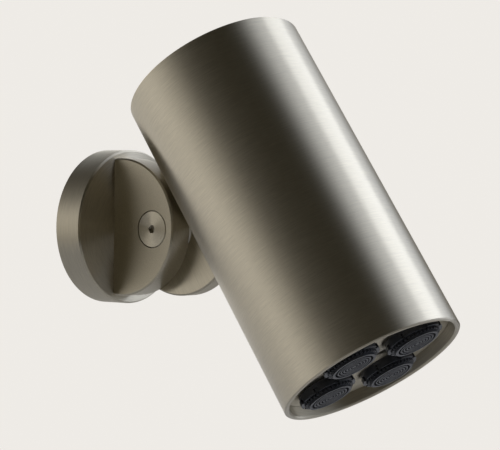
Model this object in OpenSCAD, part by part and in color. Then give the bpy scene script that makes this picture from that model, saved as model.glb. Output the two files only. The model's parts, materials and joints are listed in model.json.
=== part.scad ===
// Wall-mounted shower head: a round wall disc carries a flat tongue, the tube-shaped head
// carries a second tongue beside it, and a hollow bolt through both lets the head tilt.
// Origin: centre of the disc's back face. The wall is the plane Y = 0, -Y points into the room,
// +Z is up. The head is drawn upright about the pivot, then tilted by its rest angle.

/* [Wall disc] */
// Diameter of the round disc that sits on the wall
disc_d = 60; // [58:0.5:76]
// Thickness of the disc
disc_t = 12; // [11.5:0.5:18]
// Bevel round the disc's front edge
disc_bevel = 0.6; // [0.3:0.1:1.2]
// Height of the gasket ring let into the disc's back
gasket_t = 2; // [1.5:0.1:3]
// Radial width of the gasket ring
gasket_w = 3; // [2:0.5:4]
// Metal between the gasket ring and the disc's rim
gasket_inset = 2.5; // [2:0.5:4]

/* [Inlet] */
// Radius of the inlet thread's crests, for a half-inch pipe thread
inlet_r = 9.32; // [9:0.02:10]
// Length of the inlet thread
inlet_len = 7.5; // [6:0.5:8]
// Radius of the relief behind the thread
relief_r = 10.5; // [10.4:0.1:11.5]
// Length of the relief behind the thread
relief_len = 2; // [1.5:0.1:2.5]
// Thickness of the rubber washer at the bottom of the inlet
inlet_washer_t = 1.8; // [1:0.1:2]
// Radius of the hole through the rubber washer
inlet_washer_bore_r = 6; // [5:0.5:7]
// Thickness of the sieve inside the washer
sieve_t = 0.8; // [0.5:0.1:1]
// Diameter of each hole in the sieve
sieve_hole_d = 1; // [0.8:0.1:1.1]
// Diameter of the flow limiter
limiter_d = 6; // [5:0.2:6.4]
// Thickness of the flow limiter
limiter_t = 3; // [2:0.5:5]
// Diameter of the flow limiter's hole
limiter_bore = 2.4; // [1.5:0.1:3]
// Radius of the grub screw that locks the disc on its pipe
grub_r = 2; // [1.5:0.25:2.5]
// Distance of the grub screw from the wall
grub_out = 5; // [4.8:0.1:5.4]
// Length of the grub screw
grub_len = 8; // [6:1:12]

/* [Tilt joint] */
// Radius of the round outline of both tongues
tongue_r = 26.6; // [25:0.2:28]
// Distance from the disc's front to the centre of its tongue's outline
wall_tongue_out = 3.2; // [1:0.2:5]
// Thickness of the disc's tongue
wall_tongue_t = 10.3; // [9.5:0.1:12]
// Thickness of the head's tongue
head_tongue_t = 7; // [6.6:0.1:9]
// Distance from the pivot to the centre of the head tongue's outline
head_tongue_off = 4.7; // [4:0.1:5.5]
// Bevel round the tongues' outer edges
tongue_bevel = 0.6; // [0.3:0.1:1]
// Distance from the disc's front to the pivot
pivot_out = 19.4; // [19:0.1:22]
// Drop of the pivot below the disc's centre
pivot_drop = 0.5; // [0:0.1:1]
// Tilt of the head from upright as it is shown
tilt = 34.6; // [0:0.1:45]
// Largest tilt of the head from upright
tilt_max = 45; // [35:1:45]
// Gap left between the head tongue's stop faces and the disc at either end of the tilt
stop_gap = 0.3; // [0.2:0.1:0.6]
// Gap between the two tongues
lap_gap = 0.1; // [0.05:0.05:0.3]
// Thickness of the friction washer between the tongues
friction_t = 1; // [0.8:0.1:1.4]
// Radial width of the friction washer
friction_w = 6; // [4:0.5:6.5]

/* [Pivot bolt] */
// Diameter of the bolt's round head
bolt_head_d = 14; // [13:0.5:16]
// Thickness of the bolt's head
bolt_head_t = 3; // [2.6:0.1:3.4]
// Dark ring left between the bolt's head and its pocket
head_ring_gap = 0.25; // [0.1:0.05:0.4]
// Width across the flats of the socket in the bolt's head
bolt_key = 3; // [2.5:0.5:4]
// Depth of the socket in the bolt's head
bolt_key_depth = 1.8; // [1.2:0.1:2]
// Radius of the bolt's shank
shank_r = 5; // [4.6:0.1:5.4]
// Radius of the bolt's threaded end
bolt_end_r = 4; // [3.6:0.1:4.2]
// Radius of the water channel along the bolt
bolt_channel_r = 2; // [1.5:0.1:2.2]
// Radius of the water ports and of the channels that meet them
port_r = 1.5; // [1.2:0.1:1.6]
// Thickness of the bolt's small seal rings
bolt_seal = 1; // [0.8:0.05:1.1]
// Distance of each small seal ring from its port
seal_off = 2.45; // [2.4:0.05:2.6]
// Thickness of the disc spring under the nut
spring_t = 0.8; // [0.5:0.1:1.2]
// Radius of the pivot nut
nut_r = 8; // [7:0.5:9]
// Length of the pivot nut
nut_len = 5.5; // [5:0.5:8]
// Thickness of the closed end of the pivot nut
nut_end_t = 1.5; // [1:0.5:2]

/* [Head] */
// Diameter of the head
head_d = 70; // [69:0.5:71]
// Distance from the pivot to the head's top
head_above = 36.5; // [34:0.5:45]
// Distance from the pivot to the head's lower rim
head_below = 94.5; // [88:0.5:130]
// Distance from the pivot to the head's surface
head_off = 16.8; // [16.5:0.1:20]
// Wall of the head at its open lower rim
rim_wall = 2; // [1.5:0.1:2.5]
// Wall of the head between its rim and its top
tube_wall = 2.6; // [2.6:0.1:3.2]
// Wall of the head round the top cap
cap_wall = 1.5; // [1:0.1:1.8]
// Bevel round the head's two outer edges
head_bevel = 0.4; // [0.2:0.1:0.8]
// Bevel round the inner edge of the rim
mouth_bevel = 0.5; // [0.2:0.1:0.8]
// Thickness of the flat top cap
cap_t = 2.5; // [2:0.5:4]
// Depth of the skirt below the top cap
skirt_h = 3.5; // [3.2:0.1:6]
// Width of the skirt below the top cap
skirt_w = 2; // [1.5:0.1:3]
// Thickness of the bridge that holds the tie rod under the cap
bridge_t = 3; // [2:0.5:5]
// Width of the slot on each side of the bridge
bridge_slot_w = 14; // [8:1:16]

/* [Water chamber] */
// Depth of the nozzle plate inside the rim
plate_depth = 4.6; // [4:0.1:8]
// Thickness of the nozzle plate
plate_t = 6; // [5.5:0.1:8]
// Height of the chamber above the plate
chamber_h = 16; // [14:0.5:24]
// Thickness of the chamber's top
chamber_top_t = 3; // [2.5:0.5:4]
// Wall of the chamber
chamber_wall = 3.1; // [2.8:0.1:3.3]
// Thickness of the chamber's seal ring
chamber_seal = 1.6; // [1.2:0.1:1.8]
// Radius of the tie rod
rod_r = 3; // [2.5:0.25:3.5]
// Depth of the tie rod in the plate and its boss
rod_in = 8; // [6:0.5:9]
// Height of the plate's boss for the tie rod
boss_h = 5; // [4:0.5:8]
// Radius of that boss
boss_r = 7; // [6:0.5:7.5]
// Width across the flats of the tie rod's nuts
rod_nut_key = 10; // [9:0.5:12]
// Height of the nut above the bridge
top_nut_h = 3; // [2:0.5:3]
// Height of the nut above the chamber
low_nut_h = 5; // [4:0.5:7]
// Thickness of the washer below that nut
rod_washer_t = 1.6; // [1:0.1:2]

/* [Feed] */
// Distance of the feed pipe to the side of the tongue's middle
pipe_side = 9; // [9:0.1:11]
// Metal round the bores at the sides and the back of the feed block
block_wall = 2; // [1.5:0.1:3]
// Height of the feed block
block_h = 42; // [40:1:50]
// Depth of the feed block
block_depth = 15.6; // [14:0.2:18]
// Radius of the water channels in the feed block
feed_r = 2; // [1.6:0.1:2.3]
// Outer radius of the feed pipe
pipe_r = 4; // [3.6:0.1:4.4]
// Wall of the feed pipe
pipe_wall = 1; // [0.6:0.1:1.2]
// Depth of the feed pipe in its two sockets
pipe_socket = 8; // [6:0.5:10]
// Wall round the pipe's socket on the chamber
socket_wall = 3; // [2.5:0.5:3.5]
// Thickness of the feed pipe's seal rings
pipe_seal = 1.4; // [1:0.1:1.6]
// Outer radius of the spigot through the head's wall
spigot_r = 2.7; // [2.4:0.1:2.8]
// Wall of the spigot
spigot_wall = 1.2; // [1:0.1:1.3]
// Thickness of the spigot's seal rings
spigot_seal = 0.7; // [0.5:0.05:0.8]
// Depth of the spigot in the tongue and in the block
spigot_in = 5; // [4:0.5:6]
// Radius of the screws that hold the tongue
tongue_screw_r = 1.5; // [1.25:0.25:2]
// Distance of those screws above and below the spigot
tongue_screw_off = 15; // [14:0.5:16]
// Depth of those screws in the tongue
tongue_screw_in = 7; // [5:0.5:8]
// Thickness of the heads of those screws
tongue_screw_head_t = 3; // [2:0.5:4]

/* [Nozzles] */
// Distance of the nozzles' crowns from the wall of the mouth
nozzle_inset = 3.4; // [2.5:0.1:3.6]
// Turn of the nozzle pattern about the head's axis
nozzle_turn = 16.6; // [0:0.1:45]
// Reach of the spray faces beyond the rim
nozzle_proud = 0.3; // [0:0.1:1]
// Radius of the nozzle's threaded neck
neck_r = 9.6; // [9.2:0.1:9.8]
// Radius of the collar against the plate
collar_r = 10.3; // [10:0.1:10.6]
// Radius of the notched crown
crown_r = 10.8; // [10.6:0.1:11.4]
// Distance of the crown's end behind the spray face
crown_back = 1.7; // [1.3:0.1:2.2]
// Height of the crown
crown_h = 1.7; // [1.2:0.1:2]
// Number of notches round the crown
crown_notches = 8; // [4:1:12]
// Width of each notch
notch_w = 1.8; // [1:0.1:2.5]
// Depth of each notch
notch_depth = 0.9; // [0.5:0.1:1]
// Radius of the bore through the nozzle's neck
neck_bore_r = 8.2; // [7.8:0.1:8.4]
// Radius of the ribbed ring round the spray face
rib_ring_r = 9.5; // [9.2:0.1:9.7]
// Distance of the ribbed ring behind the spray face
rib_back = 0.9; // [0.6:0.1:1.2]
// Number of ribs round the spray face
rib_count = 36; // [12:1:48]
// Width of the slot between two ribs
rib_slot_w = 0.8; // [0.4:0.05:1]
// Depth of the slots between the ribs
rib_slot_depth = 1.8; // [1:0.1:2]
// Radius of the spray face
face_r = 8.4; // [8.2:0.1:8.6]
// Width of the plain rim round the spray face
face_rim_w = 1; // [0.8:0.1:1.4]
// Number of open rings in the spray face
face_gaps = 6; // [3:1:7]
// Width of each open ring
face_gap_w = 0.55; // [0.3:0.05:0.6]
// Depth of the rings of the spray face
face_ring_h = 1.8; // [1.4:0.1:2]
// Number of spokes that join the inner rings
face_spokes_in = 8; // [4:1:10]
// Number of spokes that join the outer rings
face_spokes_out = 24; // [8:1:32]
// Width of each spoke
face_spoke_w = 0.3; // [0.2:0.05:0.4]
// Distance of the spokes behind the spray face
face_spoke_back = 0.6; // [0.4:0.1:0.8]
// Thickness of the perforated jet disc
jet_t = 1.4; // [1:0.1:1.6]
// Number of holes in the jet disc
jet_holes = 12; // [6:1:16]
// Radius of the circle on which those holes stand
jet_circle_r = 5.7; // [5:0.1:6.2]
// Diameter of each hole in the jet disc
jet_hole_d = 1; // [0.6:0.1:1.4]
// Thickness of the plate's ledge above the nozzle's seal
ledge_t = 1; // [0.8:0.1:1.4]
// Thickness of the nozzle's flat seal
nozzle_seal_t = 1.5; // [1:0.1:1.8]
// Width of the nozzle's flat seal
nozzle_seal_w = 1.3; // [1:0.1:1.4]

/* [Fits] */
// Radial clearance of the head tongue on the pivot shank
run_gap = 0.05; // [0.02:0.01:0.1]
// Clearance between faces that slide on each other
slip_gap = 0.05; // [0.03:0.01:0.1]
// Radial clearance between pieces that are fixed together
fit_gap = 0.05; // [0:0.01:0.1]

/* [Hidden] */
NOZZLES = 4;
NOZZLE_PARTS = ["nozzle_housing", "spray_face", "jet_disc", "nozzle_seal"];
$fn = 96;
small_fn = 24;

NICKEL = "#8d867a";
STEEL = "#b4b4b0";
BRASS = "#b59a5b";
RUBBER = "#262626";
PLASTIC = "#3a3d45";
PALE_PLASTIC = "#d8d6cf";

// How far a cut runs past the face that it opens
cut = 0.5;
// Longer than any piece
far = 200;
bolt_edge = 0.3;
nut_edge = 1.2;
plate_edge = 0.3;
port_groove = 0.5;
// How far the stop faces lie behind the arc between them
stop_relief = 0.1;
hex_r = 1 / cos(30);

disc_r = disc_d / 2;
head_r = head_d / 2;
bolt_head_r = bolt_head_d / 2;
pivot_y = disc_t + pivot_out;
inlet_depth = inlet_len + relief_len;
washer_r = inlet_r - fit_gap;
gasket_r = disc_r - gasket_inset;

lap_end = lap_gap + head_tongue_t;
shank_x = bolt_head_t - wall_tongue_t;
wall_port_x = shank_x / 2;
head_port_x = lap_gap + head_tongue_t / 2;
port_xs = [wall_port_x, head_port_x];
washer_recess = (friction_t - lap_gap) / 2;
friction_r = shank_r + friction_w;
spring_x = lap_end + slip_gap;
nut_x = spring_x + spring_t;
nut_depth = nut_len - nut_end_t;
stop_r = pivot_out - stop_gap;

axis_out = head_off + head_r;
rim_z = -head_below;
mouth_r = head_r - rim_wall;
tube_r = head_r - tube_wall;
cap_seat_r = head_r - cap_wall;
cap_r = cap_seat_r - fit_gap;
cap_z = head_above - cap_t;
bridge_top = cap_z - skirt_h;
bridge_z = bridge_top - bridge_t;
plate_z = rim_z + plate_depth;
plate_top = plate_z + plate_t;
rod_z = plate_top + boss_h - rod_in;
lid_top = plate_top + chamber_h;
lid_r = tube_r - fit_gap;
lid_bore_r = lid_r - chamber_wall;
seal_mid_r = lid_r - chamber_wall / 2;

tube_y = tube_r - axis_out;
block_y = tube_y - block_depth;
screw_head_y = block_y + tongue_screw_head_t;
block_z = -head_tongue_off * sin(tilt_max / 2);
block_low = block_z - block_h / 2;
bore_side = pipe_r + pipe_seal + block_wall;
pipe_x = head_port_x - pipe_side;
pipe_y = block_y + bore_side;
pipe_top = block_low + pipe_socket;
pipe_bottom = lid_top - chamber_top_t + cut;
pipe_seal_zs = [block_low + pipe_socket / 2, lid_top + pipe_socket / 2];
spigot_seal_ys = [head_off - spigot_in / 2, axis_out - tube_r + spigot_in / 2];

face_z = rim_z - nozzle_proud;
crown_z = face_z + crown_back;
collar_z = crown_z + crown_h;
ledge_z = plate_top - ledge_t;
neck_top = ledge_z - nozzle_seal_t;
insert_top = neck_top - jet_t;
ledge_bore_r = neck_r - nozzle_seal_w;
rib_ring_z = face_z + rib_back;
face_in_r = face_r - face_rim_w;
face_pitch = face_in_r / (face_gaps + 0.5);
mid_ring = floor(face_gaps / 2);
nozzle_circle_r = mouth_r - nozzle_inset - crown_r;
nozzle_angles = [for (i = [1 : NOZZLES]) nozzle_turn + 360 / NOZZLES * (i - 1)];

// A ring or tube that stands on its lower face
module ring(outer, inner, h) {
    difference() {
        cylinder(r = outer, h = h);
        translate([0, 0, -cut]) cylinder(r = inner, h = h + 2 * cut);
    }
}

// A round seal ring that lies flat about its own centre
module seal_ring(mid_r, thick) {
    rotate_extrude() translate([mid_r, 0]) circle(d = thick, $fn = small_fn);
}

// A disc with a bevel round its upper edge
module bevelled_disc(r, h, bevel) {
    cylinder(r = r, h = h - bevel);
    translate([0, 0, h - bevel]) cylinder(r1 = r, r2 = r - bevel, h = bevel);
}

// A disc with a bevel round both edges
module twice_bevelled_disc(r, h, bevel) {
    translate([0, 0, h / 2]) bevelled_disc(r, h / 2, bevel);
    translate([0, 0, h / 2]) mirror([0, 0, 1]) bevelled_disc(r, h / 2, bevel);
}

// Children drawn along +Z point along +X instead, from the given distance
module along_x(x = 0) {
    translate([x, 0, 0]) rotate([90, 0, 90]) children();
}

// Children drawn along +Z point along -X instead, from the given distance
module against_x(x = 0) {
    mirror([1, 0, 0]) along_x(x) children();
}

// Children drawn along +Z point out of the wall, along -Y, from the given distance
module outward(y = 0) {
    translate([0, -y, 0]) rotate([90, 0, 0]) children();
}

// Children are drawn about the pivot and stay with the wall
module at_pivot() {
    translate([0, -pivot_y, -pivot_drop]) children();
}

// Children are drawn upright about the pivot and tilt with the head
module on_head() {
    at_pivot() rotate([-tilt, 0, 0]) children();
}

// Children are drawn about the head's axis, at the pivot's height
module on_axis(z = 0) {
    on_head() translate([0, -axis_out, z]) children();
}

// Children are drawn about the axis of one nozzle
module at_nozzle(i) {
    on_axis() rotate(nozzle_angles[i - 1]) translate([nozzle_circle_r, 0, 0]) children();
}

// Children are drawn twice, at the middle of each screw of the tongue
module at_screws() {
    for (side = [-1, 1])
        translate([head_port_x, 0, block_z + side * tongue_screw_off]) children();
}

module wall_disc() color(NICKEL) {
    difference() {
        union() {
            outward() bevelled_disc(disc_r, disc_t, disc_bevel);
            wall_tongue();
        }
        outward(-cut) cylinder(r = inlet_r, h = inlet_depth + cut);
        outward(inlet_len) cylinder(r = relief_r, h = relief_len);
        outward(-cut) ring(gasket_r, gasket_r - gasket_w, gasket_t + cut);
        translate([0, -grub_out, -far]) cylinder(r = grub_r, h = far);
        wall_channel();
        at_pivot() wall_pivot_bores();
    }
}

// The flat tongue on the disc's front, round and bevelled on its outer side
module wall_tongue() {
    intersection() {
        translate([0, -disc_t - wall_tongue_out, 0])
            against_x() bevelled_disc(tongue_r, wall_tongue_t, tongue_bevel);
        outward(disc_t - disc_bevel) translate([-far, -far, 0]) cube(2 * far);
    }
}

// The channel from the bottom of the inlet to the pivot, with the limiter's pocket
module wall_channel() {
    translate([wall_port_x, 0, -pivot_drop]) {
        outward(inlet_depth - cut) cylinder(r = port_r, h = pivot_y - inlet_depth);
        outward(inlet_depth - cut) cylinder(d = limiter_d, h = limiter_t + cut);
    }
}

// The bolt's bore, its head's pocket and the recess of the friction washer
module wall_pivot_bores() {
    against_x(-cut) cylinder(r = shank_r + fit_gap, h = wall_tongue_t + 2 * cut);
    against_x(-shank_x) cylinder(r = bolt_head_r + head_ring_gap, h = bolt_head_t + cut);
    against_x(-cut) cylinder(r = friction_r + fit_gap, h = washer_recess + cut);
}

module wall_gasket() color(RUBBER) {
    outward() ring(gasket_r - fit_gap, gasket_r - gasket_w + fit_gap, gasket_t);
}

module inlet_washer() color(RUBBER) {
    outward(inlet_depth - inlet_washer_t) ring(washer_r, inlet_washer_bore_r, inlet_washer_t);
}

module inlet_sieve() color(STEEL) {
    // Each row holds the number of holes and their circle as a share of the sieve's radius
    hole_rows = [[1, 0], [6, 0.3], [12, 0.58], [18, 0.84]];
    sieve_r = inlet_washer_bore_r - fit_gap;
    outward(inlet_depth - sieve_t) difference() {
        cylinder(r = sieve_r, h = sieve_t);
        for (row = hole_rows, k = [1 : row[0]])
            rotate(360 / row[0] * k) translate([sieve_r * row[1], 0, -cut])
                cylinder(d = sieve_hole_d, h = sieve_t + 2 * cut, $fn = small_fn);
    }
}

module flow_limiter() color(PALE_PLASTIC) {
    translate([wall_port_x, 0, -pivot_drop]) outward(inlet_depth)
        ring(limiter_d / 2 - fit_gap, limiter_bore / 2, limiter_t);
}

module grub_screw() color(STEEL) {
    translate([0, -grub_out, -relief_r - grub_len]) difference() {
        cylinder(r = grub_r - fit_gap, h = grub_len);
        translate([0, 0, -cut]) cylinder(r = grub_r / 2, h = grub_r + cut, $fn = 6);
    }
}

module pivot_bolt() color(NICKEL) {
    at_pivot() difference() {
        union() {
            against_x(-shank_x) bevelled_disc(bolt_head_r, bolt_head_t, bolt_edge);
            along_x(shank_x) cylinder(r = shank_r, h = lap_end - shank_x);
            along_x(shank_x) cylinder(r = bolt_end_r, h = nut_x + nut_depth - fit_gap - shank_x);
        }
        along_x(-wall_tongue_t - cut)
            cylinder(r = bolt_key / 2 * hex_r, h = bolt_key_depth + cut, $fn = 6);
        along_x(wall_port_x - port_r) cylinder(r = bolt_channel_r, h = far);
        for (x = port_xs) {
            bolt_port(x);
            for (side = [-1, 1]) bolt_seal_groove(x + side * seal_off);
        }
    }
}

// A cross hole through the shank and the groove that joins its mouths
module bolt_port(x) {
    translate([x, 0, 0]) rotate([90, 0, 0]) cylinder(r = port_r, h = 3 * shank_r, center = true);
    along_x(x - port_r) ring(shank_r + cut, shank_r - port_groove, 2 * port_r);
}

module bolt_seal_groove(x) {
    groove_w = bolt_seal + 2 * fit_gap;
    along_x(x - groove_w / 2) ring(shank_r + cut, shank_r - bolt_seal, groove_w);
}

module pivot_seals() color(RUBBER) {
    at_pivot() for (x = port_xs, side = [-1, 1])
        along_x(x + side * seal_off) seal_ring(shank_r - bolt_seal / 2, bolt_seal);
}

module friction_washer() color(PALE_PLASTIC) {
    at_pivot() along_x(-washer_recess) ring(friction_r, shank_r + fit_gap, friction_t);
}

module disc_spring() color(STEEL) {
    at_pivot() along_x(spring_x) ring(nut_r, bolt_end_r + fit_gap, spring_t);
}

module pivot_nut() color(NICKEL) {
    at_pivot() along_x(nut_x) difference() {
        bevelled_disc(nut_r, nut_len, nut_edge);
        translate([0, 0, -cut]) cylinder(r = bolt_end_r + fit_gap, h = nut_depth + cut);
    }
}

module head_tongue() color(NICKEL) {
    washer_depth = friction_t - washer_recess + slip_gap;
    on_head() difference() {
        head_tongue_blank();
        translate([0, -axis_out, rim_z]) cylinder(r = head_r, h = head_below + head_above);
        along_x() cylinder(r = shank_r + run_gap, h = lap_end + cut);
        along_x() cylinder(r = friction_r + run_gap, h = washer_depth);
        translate([head_port_x, 0, 0]) {
            outward() cylinder(r = spigot_r - spigot_wall, h = head_off + cut);
            outward(head_off - spigot_in) cylinder(r = spigot_r + fit_gap, h = far);
        }
        at_screws() outward(head_off - tongue_screw_in)
            cylinder(r = tongue_screw_r + fit_gap, h = far);
    }
}

// The head's tongue before it is bored: a bevelled disc cut back to its stop faces
module head_tongue_blank() {
    along_x(lap_gap) rotate(tilt_max / 2) intersection() {
        translate([-head_tongue_off, 0, 0])
            twice_bevelled_disc(tongue_r, head_tongue_t, tongue_bevel);
        linear_extrude(head_tongue_t) stop_outline();
    }
}

// Two straight stop faces, one for each end of the tilt, joined by an arc about the pivot
module stop_outline() {
    half = tilt_max / 2;
    difference() {
        intersection_for(side = [-1, 1])
            rotate(side * half)
                translate([-far, -far]) square([far + stop_r - stop_relief, 2 * far]);
        difference() {
            polygon([[0, 0], [far, -far * tan(half)], [far, far * tan(half)]]);
            circle(r = stop_r);
        }
    }
}

module tongue_screws() color(STEEL) {
    shaft_y = head_off - tongue_screw_in;
    on_head() at_screws() difference() {
        union() {
            outward(shaft_y) cylinder(r = tongue_screw_r, h = -screw_head_y - shaft_y);
            outward(-screw_head_y) cylinder(r = 2 * tongue_screw_r, h = tongue_screw_head_t);
        }
        outward(-screw_head_y + tongue_screw_head_t / 2)
            cylinder(r = tongue_screw_r, h = tongue_screw_head_t, $fn = 6);
    }
}

module feed_spigot() color(BRASS) {
    groove_w = spigot_seal + 2 * fit_gap;
    on_head() translate([head_port_x, 0, 0]) difference() {
        outward(head_off - spigot_in)
            ring(spigot_r, spigot_r - spigot_wall, 2 * spigot_in + tube_wall);
        for (y = spigot_seal_ys)
            outward(y - groove_w / 2) ring(spigot_r + cut, spigot_r - spigot_seal, groove_w);
    }
}

module spigot_seals() color(RUBBER) {
    on_head() translate([head_port_x, 0, 0])
        for (y = spigot_seal_ys) outward(y) seal_ring(spigot_r - spigot_seal / 2, spigot_seal);
}

// The block behind the head's wall that clamps the tongue and feeds the pipe
module feed_block() color(BRASS) {
    on_head() difference() {
        intersection() {
            feed_block_blank();
            translate([0, -axis_out, block_low]) cylinder(r = tube_r, h = block_h);
        }
        translate([head_port_x, 0, 0]) {
            outward() cylinder(r = spigot_r + fit_gap, h = head_off + tube_wall + spigot_in);
            outward() cylinder(r = feed_r, h = -pipe_y);
        }
        translate([pipe_x, pipe_y, 0]) {
            along_x() cylinder(r = feed_r, h = pipe_side);
            translate([0, 0, block_low - cut]) cylinder(r = feed_r, h = cut - block_low);
            translate([0, 0, block_low - cut]) cylinder(r = pipe_r + fit_gap, h = pipe_socket + cut);
            translate([0, 0, pipe_seal_zs[0]]) pipe_seal_groove();
        }
        at_screws() {
            outward() cylinder(r = tongue_screw_r + fit_gap, h = far);
            outward(-screw_head_y) cylinder(r = 2 * tongue_screw_r + fit_gap, h = far);
        }
    }
}

// The feed block before it is bored, wide enough for the pipe and for the screws' heads
module feed_block_blank() {
    low_x = pipe_x - bore_side;
    high_x = head_port_x + 2 * tongue_screw_r + block_wall;
    translate([low_x, block_y, block_low]) cube([high_x - low_x, -block_y, block_h]);
}

// The groove of a pipe seal, about the seal's own centre
module pipe_seal_groove() {
    groove_h = pipe_seal + 2 * fit_gap;
    translate([0, 0, -groove_h / 2]) cylinder(r = pipe_r + pipe_seal + fit_gap, h = groove_h);
}

module feed_pipe() color(BRASS) {
    on_head() translate([pipe_x, pipe_y, pipe_bottom])
        ring(pipe_r, pipe_r - pipe_wall, pipe_top - pipe_bottom);
}

module pipe_seals() color(RUBBER) {
    on_head() for (z = pipe_seal_zs)
        translate([pipe_x, pipe_y, z]) seal_ring(pipe_r + pipe_seal / 2, pipe_seal);
}

// The tube of the head, turned with a seat for the bridge and one for the nozzle plate
module head_shell() color(NICKEL) {
    on_head() difference() {
        translate([0, -axis_out, 0]) rotate_extrude() polygon([
            [mouth_r + mouth_bevel, rim_z],
            [head_r - head_bevel, rim_z],
            [head_r, rim_z + head_bevel],
            [head_r, head_above - head_bevel],
            [head_r - head_bevel, head_above],
            [cap_seat_r, head_above],
            [cap_seat_r, bridge_z],
            [tube_r, bridge_z],
            [tube_r, plate_top],
            [mouth_r, plate_top],
            [mouth_r, rim_z + mouth_bevel],
        ]);
        translate([head_port_x, 0, 0]) outward() cylinder(r = spigot_r + fit_gap, h = axis_out);
        at_screws() outward() cylinder(r = tongue_screw_r + fit_gap, h = axis_out);
    }
}

module top_cap() color(NICKEL) {
    on_axis(cap_z) cylinder(r = cap_r, h = cap_t);
    on_axis(bridge_top) ring(cap_r, cap_r - skirt_w, skirt_h);
}

module bridge_plate() color(STEEL) {
    on_axis(bridge_z) difference() {
        cylinder(r = cap_r, h = bridge_t);
        translate([0, 0, -cut]) cylinder(r = rod_r + fit_gap, h = bridge_t + 2 * cut);
        for (side = [-1, 1])
            translate([side * (rod_nut_key + bridge_slot_w / 2), 0, -cut])
                slot_hole(bridge_slot_w, 2 * bridge_slot_w, bridge_t + 2 * cut);
    }
}

// A round-ended hole of the given width and length, along Y
module slot_hole(width, length, h) {
    straight = length - width;
    for (side = [-1, 1]) translate([0, side * straight / 2, 0]) cylinder(d = width, h = h);
    translate([-width / 2, -straight / 2, 0]) cube([width, straight, h]);
}

module tie_rod() color(STEEL) {
    on_axis(rod_z) cylinder(r = rod_r, h = bridge_top + top_nut_h - rod_z);
}

module tie_nuts() color(STEEL) {
    on_axis(bridge_top) rod_nut(top_nut_h);
    on_axis(lid_top + rod_washer_t) rod_nut(low_nut_h);
}

module rod_nut(h) {
    difference() {
        cylinder(r = rod_nut_key / 2 * hex_r, h = h, $fn = 6);
        translate([0, 0, -cut]) cylinder(r = rod_r + fit_gap, h = h + 2 * cut);
    }
}

module rod_washer() color(RUBBER) {
    on_axis(lid_top) ring(rod_nut_key / 2 * hex_r, rod_r + fit_gap, rod_washer_t);
}

// The chamber's cup, open towards the nozzle plate, with a socket for the feed pipe
module chamber_lid() color(BRASS) {
    on_axis() difference() {
        union() {
            translate([0, 0, plate_top]) cylinder(r = lid_r, h = chamber_h);
            lid_at_pipe(plate_top) cylinder(r = pipe_r + socket_wall, h = chamber_h + pipe_socket);
        }
        translate([0, 0, plate_top - cut])
            cylinder(r = lid_bore_r, h = chamber_h - chamber_top_t + cut);
        translate([0, 0, plate_top]) cylinder(r = rod_r + fit_gap, h = chamber_h + cut);
        lid_at_pipe(plate_top) cylinder(r = pipe_r - pipe_wall, h = chamber_h);
        lid_at_pipe(pipe_bottom) cylinder(r = pipe_r + fit_gap, h = far);
        lid_at_pipe(pipe_seal_zs[1]) pipe_seal_groove();
    }
}

// Children are drawn about the feed pipe, counted from the head's axis
module lid_at_pipe(z) {
    translate([pipe_x, pipe_y + axis_out, z]) children();
}

module chamber_seal_ring() color(RUBBER) {
    on_axis(plate_top - chamber_seal / 2) seal_ring(seal_mid_r, chamber_seal);
}

module nozzle_plate() color(NICKEL) {
    groove_half = chamber_seal / 2 + fit_gap;
    on_axis() difference() {
        union() {
            translate([0, 0, plate_top]) mirror([0, 0, 1])
                bevelled_disc(mouth_r - fit_gap, plate_t, plate_edge);
            translate([0, 0, plate_top - cut]) cylinder(r = boss_r, h = boss_h + cut);
        }
        translate([0, 0, rod_z]) cylinder(r = rod_r + fit_gap, h = rod_in + cut);
        translate([0, 0, plate_top - chamber_seal])
            ring(seal_mid_r + groove_half, seal_mid_r - groove_half, chamber_seal + cut);
        for (angle = nozzle_angles)
            rotate(angle) translate([nozzle_circle_r, 0, plate_z - cut]) {
                cylinder(r = neck_r + fit_gap, h = ledge_z - plate_z + cut);
                cylinder(r = ledge_bore_r, h = plate_t + 2 * cut);
            }
    }
}

// The nozzle's outer part: neck in the plate, collar against it, notched crown in front
module nozzle_housing(i) color(PLASTIC) {
    at_nozzle(i) difference() {
        union() {
            translate([0, 0, plate_z]) cylinder(r = neck_r, h = neck_top - plate_z);
            translate([0, 0, collar_z]) cylinder(r = collar_r, h = plate_z - collar_z);
            translate([0, 0, crown_z]) cylinder(r = crown_r, h = crown_h);
        }
        translate([0, 0, face_z]) cylinder(r = neck_bore_r, h = far);
        translate([0, 0, face_z]) cylinder(r = rib_ring_r + fit_gap, h = plate_z - face_z);
        for (k = [1 : crown_notches])
            rotate(360 / crown_notches * k)
                translate([crown_r - notch_depth, -notch_w / 2, crown_z - cut])
                    cube([far, notch_w, crown_h + cut]);
    }
}

// The spray insert: a cup with a toothed ring round its mouth and open rings across it
module spray_face(i) color(PLASTIC) {
    at_nozzle(i) {
        difference() {
            union() {
                translate([0, 0, face_z]) cylinder(r = face_r, h = plate_z - face_z);
                translate([0, 0, rib_ring_z]) cylinder(r = rib_ring_r, h = plate_z - rib_ring_z);
                translate([0, 0, plate_z - cut])
                    cylinder(r = neck_bore_r - fit_gap, h = insert_top - plate_z + cut);
            }
            translate([0, 0, face_z - cut]) cylinder(r = face_in_r, h = far);
            translate([0, 0, rib_ring_z - cut]) rib_slots();
        }
        translate([0, 0, face_z]) face_rings();
        translate([0, 0, face_z + face_spoke_back]) face_spokes();
    }
}

// The slots that leave the teeth of the ribbed ring between them
module rib_slots() {
    for (k = [1 : rib_count])
        rotate(360 / rib_count * k) translate([face_r, -rib_slot_w / 2, 0])
            cube([far, rib_slot_w, rib_slot_depth + cut]);
}

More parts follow.
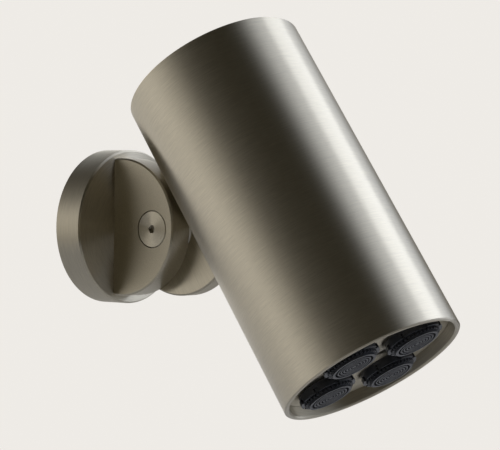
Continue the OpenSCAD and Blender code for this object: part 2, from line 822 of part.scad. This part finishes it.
// The rings of the spray face, each a gap's width from the next, about a round middle
module face_rings() {
    half_gap = face_gap_w / 2;
    cylinder(r = face_pitch - half_gap, h = face_ring_h);
    for (k = [1 : face_gaps - 1])
        ring((k + 1) * face_pitch - half_gap, k * face_pitch + half_gap, face_ring_h);
}

// The spokes that join the rings to each other and to the rim
module face_spokes() {
    spoke_h = face_ring_h - face_spoke_back;
    mid_r = (mid_ring + 0.5) * face_pitch;
    spoke_row(face_spokes_in, face_pitch / 2, mid_r, spoke_h);
    spoke_row(face_spokes_out, mid_r, face_in_r + cut, spoke_h);
}

module spoke_row(count, from_r, to_r, h) {
    for (k = [1 : count])
        rotate(360 / count * k) translate([from_r, -face_spoke_w / 2, 0])
            cube([to_r - from_r, face_spoke_w, h]);
}

module jet_disc(i) color(PALE_PLASTIC) {
    at_nozzle(i) translate([0, 0, insert_top]) difference() {
        cylinder(r = neck_bore_r - fit_gap, h = jet_t);
        for (k = [1 : jet_holes])
            rotate(360 / jet_holes * k) translate([jet_circle_r, 0, -cut])
                cylinder(d = jet_hole_d, h = jet_t + 2 * cut, $fn = small_fn);
    }
}

module nozzle_seal(i) color(RUBBER) {
    at_nozzle(i) translate([0, 0, neck_top]) ring(neck_r, ledge_bore_r, nozzle_seal_t);
}

wall_disc();
wall_gasket();
inlet_washer();
inlet_sieve();
flow_limiter();
grub_screw();
pivot_bolt();
pivot_seals();
friction_washer();
disc_spring();
pivot_nut();
head_tongue();
tongue_screws();
feed_spigot();
spigot_seals();
feed_block();
feed_pipe();
pipe_seals();
head_shell();
top_cap();
bridge_plate();
tie_rod();
tie_nuts();
rod_washer();
chamber_lid();
chamber_seal_ring();
nozzle_plate();
for (i = [1 : NOZZLES]) {
    nozzle_housing(i);
    spray_face(i);
    jet_disc(i);
    nozzle_seal(i);
}
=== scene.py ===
"""Looks of a wall-mounted shower head in brushed warm nickel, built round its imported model."""
import json
import math

import bpy
from mathutils import Matrix, Vector

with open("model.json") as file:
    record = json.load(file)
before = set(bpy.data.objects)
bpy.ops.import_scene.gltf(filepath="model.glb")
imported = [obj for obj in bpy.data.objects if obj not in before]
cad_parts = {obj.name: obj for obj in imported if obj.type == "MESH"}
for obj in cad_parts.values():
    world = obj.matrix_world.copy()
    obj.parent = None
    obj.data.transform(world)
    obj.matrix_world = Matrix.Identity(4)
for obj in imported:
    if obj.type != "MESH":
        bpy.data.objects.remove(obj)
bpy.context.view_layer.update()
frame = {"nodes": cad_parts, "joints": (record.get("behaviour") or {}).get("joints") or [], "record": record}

MM = 0.001

# Places taken from the frame
TILT_JOINT = frame["joints"][0]
PIVOT = Vector(TILT_JOINT["pos_m"])
REST_TILT = math.radians(34.6)
HEAD_AXIS = Vector((0, math.sin(REST_TILT), math.cos(REST_TILT)))
HEAD_OUT = Vector((0, -math.cos(REST_TILT), math.sin(REST_TILT)))
AXIS_OUT = 51.8 * MM
HEAD_FOOT = PIVOT + HEAD_OUT * AXIS_OUT

# Camera, at the photograph's viewing angle
CAMERA_AZIMUTH = math.radians(-51.45)
CAMERA_ELEVATION = math.radians(1.09)
CAMERA_ROLL = math.radians(0.54)
CAMERA_DISTANCE = 0.7724
CAMERA_OFFSET = (-0.0556, -0.0004)
FOCAL_SHARE = 1952.6 / 500
SENSOR = 36.0

# Studio
BACKDROP = (0.858, 0.832, 0.793)
ROOM = (0.120, 0.106, 0.075)
CEILING = (0.026, 0.024, 0.017)
BEHIND = (0.0, 0.90, 0.45)
BEHIND_FROM = 0.22
BEHIND_TO = 0.58
WALL_LIGHT = 1.5
WALL_DIM = 0.45
WALL_TOP = (0.40, 0.95)
BOX_WAY = (0.70, -0.47, 0.54)
BOX_WIDE = (0.32, 0.82)
BOX_HIGH = (0.20, 0.72)
BOX_COLOUR = (0.80, 0.86, 1.0)
BOX_LIGHT = 1.75
FLOOR_Z = -0.30
FLOOR_R = 1.15

NICKEL = (0.55, 0.505, 0.405)


class Tree:
    """One material's node tree, written as a formula: each call adds a node and returns its result."""

    def __init__(self, name):
        self.material = bpy.data.materials.new(name)
        self.material.use_nodes = True
        self.nodes = self.material.node_tree.nodes
        self.links = self.material.node_tree.links
        self.nodes.clear()

    def put(self, socket, value):
        if isinstance(value, bpy.types.NodeSocket):
            self.links.new(value, socket)
        elif value is not None:
            socket.default_value = value

    def add(self, kind, inputs=(), settings=(), output=0):
        node = self.nodes.new(kind)
        for key, value in dict(settings).items():
            setattr(node, key, value)
        for key, value in dict(inputs).items():
            self.put(node.inputs[key], value)
        return node.outputs[output] if node.outputs else None

    def math(self, operation, a, b=None, c=None):
        inputs = {i: v for i, v in enumerate((a, b, c)) if v is not None}
        return self.add("ShaderNodeMath", inputs, {"operation": operation})

    def vector(self, operation, a, b=None):
        inputs = {i: v for i, v in enumerate((a, b)) if v is not None}
        output = 1 if operation in ("DOT_PRODUCT", "LENGTH") else 0
        return self.add("ShaderNodeVectorMath", inputs, {"operation": operation}, output)

    def spread(self, value, low, high, to_low, to_high, smooth=True):
        inputs = {0: value, 1: low, 2: high, 3: to_low, 4: to_high}
        style = "SMOOTHSTEP" if smooth else "LINEAR"
        return self.add("ShaderNodeMapRange", inputs, {"interpolation_type": style})

    def mix(self, share, a, b):
        node = self.nodes.new("ShaderNodeMix")
        node.data_type = "RGBA"
        self.put(node.inputs[0], share)
        self.put(node.inputs[6], a)
        self.put(node.inputs[7], b)
        return node.outputs[2]

    def noise(self, place, scale, detail=2.0, roughness=0.5, turn=None):
        inputs = {"Vector": place, "Scale": scale, "Detail": detail, "Roughness": roughness}
        settings = {"noise_dimensions": "3D"}
        if turn is not None:
            inputs["W"] = turn
            settings = {"noise_dimensions": "4D"}
        return self.add("ShaderNodeTexNoise", inputs, settings)

    def combine(self, x=0.0, y=0.0, z=0.0):
        return self.add("ShaderNodeCombineXYZ", {0: x, 1: y, 2: z})

    def part(self, vector, axis):
        return self.add("ShaderNodeSeparateXYZ", {0: vector}, output="XYZ".index(axis))

    def place(self):
        return self.add("ShaderNodeTexCoord", output=3)

    def normal(self):
        return self.add("ShaderNodeNewGeometry", output=1)

    def to_world(self, vector):
        settings = {"vector_type": "VECTOR", "convert_from": "OBJECT", "convert_to": "WORLD"}
        return self.add("ShaderNodeVectorTransform", {0: vector}, settings)

    def finish(self, shader):
        self.add("ShaderNodeOutputMaterial", {"Surface": shader})
        return self.material


def rgba(colour, share=1.0):
    return (colour[0] * share, colour[1] * share, colour[2] * share, 1.0)


def turned_grain(tree, foot, axis):
    """Fine lines round an axis. Returns the grain's value and the direction in which highlights spread."""
    from_foot = tree.vector("SUBTRACT", tree.place(), tuple(foot))
    along = tree.vector("DOT_PRODUCT", from_foot, tuple(axis))
    side = axis.orthogonal().normalized()
    other = axis.cross(side)
    a = tree.vector("DOT_PRODUCT", from_foot, tuple(side))
    b = tree.vector("DOT_PRODUCT", from_foot, tuple(other))
    radius = tree.math("SQRT", tree.math("ADD", tree.math("MULTIPLY", a, a), tree.math("MULTIPLY", b, b)))
    turn_a = tree.math("DIVIDE", a, radius)
    turn_b = tree.math("DIVIDE", b, radius)
    fine, length = 4200.0, 5.0
    spot = tree.combine(
        tree.math("MULTIPLY", radius, fine),
        tree.math("MULTIPLY", along, fine),
        tree.math("MULTIPLY", turn_a, length),
    )
    grain = tree.noise(spot, 1.0, 3.0, 0.65, tree.math("MULTIPLY", turn_b, length))
    round_way = tree.vector("CROSS_PRODUCT", tuple(axis), from_foot)
    spread_way = tree.vector("CROSS_PRODUCT", tree.normal(), tree.to_world(round_way))
    return grain, spread_way


def straight_grain(tree, way):
    """Fine lines along one direction. Returns the grain's value and the direction in which highlights spread."""
    place = tree.place()
    along = tree.vector("DOT_PRODUCT", place, tuple(way))
    fine, length = 4200.0, 90.0
    flat = tree.vector("MULTIPLY", place, (fine, fine, fine))
    pulled = tree.vector("SCALE", tuple(way))
    pulled.node.inputs["Scale"].default_value = 1.0
    tree.put(pulled.node.inputs["Scale"], tree.math("MULTIPLY", along, fine - length))
    spot = tree.vector("SUBTRACT", flat, pulled)
    grain = tree.noise(spot, 1.0, 3.0, 0.65)
    spread_way = tree.vector("CROSS_PRODUCT", tree.normal(), tree.to_world(tuple(way)))
    return grain, spread_way


def brushed(tree, grain, spread_way, colour=NICKEL, roughness=0.38, anisotropic=1.0, bump=0.10):
    """The shader of brushed metal: its grain moves colour, roughness and height a little."""
    level = tree.spread(grain, 0.3, 0.7, 0.0, 1.0, smooth=False)
    tint = tree.mix(level, rgba(colour, 0.86), rgba(colour, 1.12))
    rough = tree.spread(grain, 0.3, 0.7, roughness - 0.02, roughness + 0.02, smooth=False)
    height = tree.add("ShaderNodeBump", {"Strength": bump, "Distance": 0.00002, "Height": level})
    return tree.add("ShaderNodeBsdfPrincipled", {
        "Base Color": tint,
        "Metallic": 1.0,
        "Roughness": rough,
        "Anisotropic": anisotropic,
        "Tangent": spread_way,
        "Normal": height,
    })


def turned_nickel(name, foot, axis, **looks):
    tree = Tree(name)
    grain, spread_way = turned_grain(tree, foot, axis)
    return tree.finish(brushed(tree, grain, spread_way, **looks))


def flat_nickel(name, way, **looks):
    tree = Tree(name)
    grain, spread_way = straight_grain(tree, way)
    return tree.finish(brushed(tree, grain, spread_way, **looks))


def moulded(name, colour, roughness, scale=9000.0):
    """Moulded plastic or rubber: an even colour with a fine skin."""
    tree = Tree(name)
    skin = tree.noise(tree.place(), scale, 2.0)
    cloud = tree.noise(tree.place(), scale / 30, 2.0)
    tint = tree.mix(cloud, rgba(colour, 0.85), rgba(colour, 1.15))
    rough = tree.spread(cloud, 0.3, 0.7, roughness - 0.05, roughness + 0.05)
    height = tree.add("ShaderNodeBump", {"Strength": 0.15, "Distance": 0.00003, "Height": skin})
    return tree.finish(tree.add("ShaderNodeBsdfPrincipled", {
        "Base Color": tint, "Roughness": rough, "Normal": height,
    }))


def make_materials():
    outward = Vector((0, -1, 0))
    across = Vector((1, 0, 0))
    return {
        "tube": turned_nickel("tube_nickel", HEAD_FOOT, HEAD_AXIS),
        "disc": turned_nickel("disc_nickel", Vector((0, 0, 0)), outward),
        "bolt": turned_nickel("bolt_nickel", PIVOT, across, roughness=0.40),
        "tongue": flat_nickel("tongue_nickel", Vector((0, 0, 1))),
        "head_tongue": flat_nickel("head_tongue_nickel", HEAD_AXIS),
        "steel": turned_nickel("turned_steel", HEAD_FOOT, HEAD_AXIS, colour=(0.56, 0.56, 0.55)),
        "brass": turned_nickel("turned_brass", HEAD_FOOT, HEAD_AXIS, colour=(0.65, 0.5, 0.25)),
        "rubber": moulded("rubber", (0.02, 0.02, 0.02), 0.6),
        "pale": moulded("pale_plastic", (0.72, 0.71, 0.67), 0.45),
        "nozzle": moulded("nozzle_plastic", (0.035, 0.038, 0.045), 0.38),
    }


def dress_nodes(materials):
    """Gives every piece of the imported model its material."""
    finishes = {
        "head_shell": "tube", "top_cap": "tube", "nozzle_plate": "tube",
        "wall_disc": "disc", "head_tongue": "head_tongue",
        "pivot_bolt": "bolt", "pivot_nut": "bolt",
    }
    by_slot = {"steel": "steel", "brass": "brass", "rubber": "rubber", "pale_plastic": "pale",
               "nozzle_plastic": "nozzle", "body_nickel": "tube"}
    slot_of = {s["node"]: s["material_slot"] for s in frame["record"]["subparts"]}
    for name, node in frame["nodes"].items():
        material = materials[finishes.get(name) or by_slot[slot_of[name]]]
        node.data.materials.clear()
        node.data.materials.append(material)


def make_camera():
    back = Vector((
        math.sin(CAMERA_AZIMUTH) * math.cos(CAMERA_ELEVATION),
        -math.cos(CAMERA_AZIMUTH) * math.cos(CAMERA_ELEVATION),
        math.sin(CAMERA_ELEVATION),
    ))
    level = Vector((math.cos(CAMERA_AZIMUTH), math.sin(CAMERA_AZIMUTH), 0))
    upright = back.cross(level)
    right = level * math.cos(CAMERA_ROLL) + upright * math.sin(CAMERA_ROLL)
    up = upright * math.cos(CAMERA_ROLL) - level * math.sin(CAMERA_ROLL)
    data = bpy.data.cameras.new("camera")
    data.sensor_width = SENSOR
    data.sensor_fit = "HORIZONTAL"
    data.lens = SENSOR * FOCAL_SHARE
    camera = bpy.data.objects.new("camera", data)
    bpy.context.scene.collection.objects.link(camera)
    spin = Matrix((right, up, back)).transposed().to_4x4()
    place = back * CAMERA_DISTANCE - right * CAMERA_OFFSET[0] - up * CAMERA_OFFSET[1]
    camera.matrix_world = Matrix.Translation(place) @ spin
    bpy.context.scene.camera = camera
    return camera


def make_world():
    """A pale backdrop behind the part, an unlit room in front, and a large soft box up to the right."""
    world = bpy.data.worlds.new("studio")
    world.use_nodes = True
    bpy.context.scene.world = world
    tree = Tree.__new__(Tree)
    tree.nodes = world.node_tree.nodes
    tree.links = world.node_tree.links
    tree.nodes.clear()
    way = tree.add("ShaderNodeTexCoord", output=0)
    height = tree.part(way, "Z")
    off_level = tree.math("ABSOLUTE", height)
    behind = tree.spread(tree.vector("DOT_PRODUCT", way, BEHIND), BEHIND_FROM, BEHIND_TO, 0.0, 1.0)
    behind = tree.math("MULTIPLY", behind, tree.spread(height, WALL_TOP[0], WALL_TOP[1], 1.0, 0.0))
    wall = tree.mix(tree.spread(off_level, 0.10, 0.60, 0.0, 1.0), rgba(BACKDROP, WALL_LIGHT),
                    rgba(BACKDROP, WALL_DIM))
    front = tree.mix(tree.spread(off_level, 0.0, 0.4, 0.0, 1.0), rgba(ROOM), rgba(CEILING))
    room = tree.mix(behind, front, wall)
    centre = Vector(BOX_WAY).normalized()
    across = centre.cross(HEAD_AXIS).normalized()
    upward = across.cross(centre)
    wide = tree.math("ABSOLUTE", tree.vector("DOT_PRODUCT", way, tuple(across)))
    high = tree.math("ABSOLUTE", tree.vector("DOT_PRODUCT", way, tuple(upward)))
    ahead = tree.math("GREATER_THAN", tree.vector("DOT_PRODUCT", way, tuple(centre)), 0.0)
    box = tree.math("MULTIPLY", tree.spread(wide, BOX_WIDE[0], BOX_WIDE[1], 1.0, 0.0),
                    tree.spread(high, BOX_HIGH[0], BOX_HIGH[1], 1.0, 0.0))
    box = tree.math("MULTIPLY", box, ahead)
    seen = tree.mix(box, room, rgba(BOX_COLOUR, BOX_LIGHT))
    camera = tree.add("ShaderNodeLightPath", output=0)
    shown = tree.mix(camera, seen, rgba(BACKDROP))
    background = tree.add("ShaderNodeBackground", {"Color": shown, "Strength": 1.0})
    tree.add("ShaderNodeOutputWorld", {"Surface": background})


def make_softbox(name, way, distance, width, height, power, colour, upright=HEAD_AXIS):
    """A rectangular lamp that faces the part from the given direction."""
    data = bpy.data.lights.new(name, "AREA")
    data.shape = "RECTANGLE"
    data.size = width
    data.size_y = height
    data.energy = power
    data.color = colour
    lamp = bpy.data.objects.new(name, data)
    bpy.context.scene.collection.objects.link(lamp)
    back = Vector(way).normalized()
    up = (upright - back * upright.dot(back)).normalized()
    right = up.cross(back)
    spin = Matrix((right, up, back)).transposed().to_4x4()
    lamp.matrix_world = Matrix.Translation(HEAD_FOOT + back * distance) @ spin
    return lamp


def make_lights():
    make_softbox("key_softbox", BOX_WAY, 0.95, 0.5, 0.5, 1.5, BOX_COLOUR)
    make_softbox("low_softbox", (0.80, -0.25, -0.54), 0.95, 0.45, 0.45, 1.4, BOX_COLOUR)


def make_floor():
    """A pale floor that fades into the backdrop at its edge."""
    mesh = bpy.data.meshes.new("floor")
    steps = 96
    ring = [
        (FLOOR_R * math.cos(k * math.tau / steps), FLOOR_R * math.sin(k * math.tau / steps), FLOOR_Z)
        for k in range(steps)
    ]
    mesh.from_pydata(ring, [], [tuple(range(steps))])
    floor = bpy.data.objects.new("floor", mesh)
    bpy.context.scene.collection.objects.link(floor)
    tree = Tree("floor_paint")
    away = tree.vector("LENGTH", tree.vector("MULTIPLY", tree.place(), (1, 1, 0)))
    fade = tree.spread(away, FLOOR_R * 0.45, FLOOR_R * 0.98, 0.0, 1.0)
    grain = tree.noise(tree.place(), 40.0, 3.0)
    tint = tree.mix(grain, rgba(BACKDROP, 0.98), rgba(BACKDROP, 1.0))
    paint = tree.add("ShaderNodeBsdfPrincipled", {"Base Color": tint, "Roughness": 0.7})
    clear = tree.add("ShaderNodeBsdfTransparent")
    mixed = tree.add("ShaderNodeMixShader", {0: fade, 1: paint, 2: clear})
    mesh.materials.append(tree.finish(mixed))


def main():
    make_camera()
    make_world()
    make_lights()
    make_floor()
    dress_nodes(make_materials())
    bpy.context.scene.view_settings.view_transform = "Standard"


main()
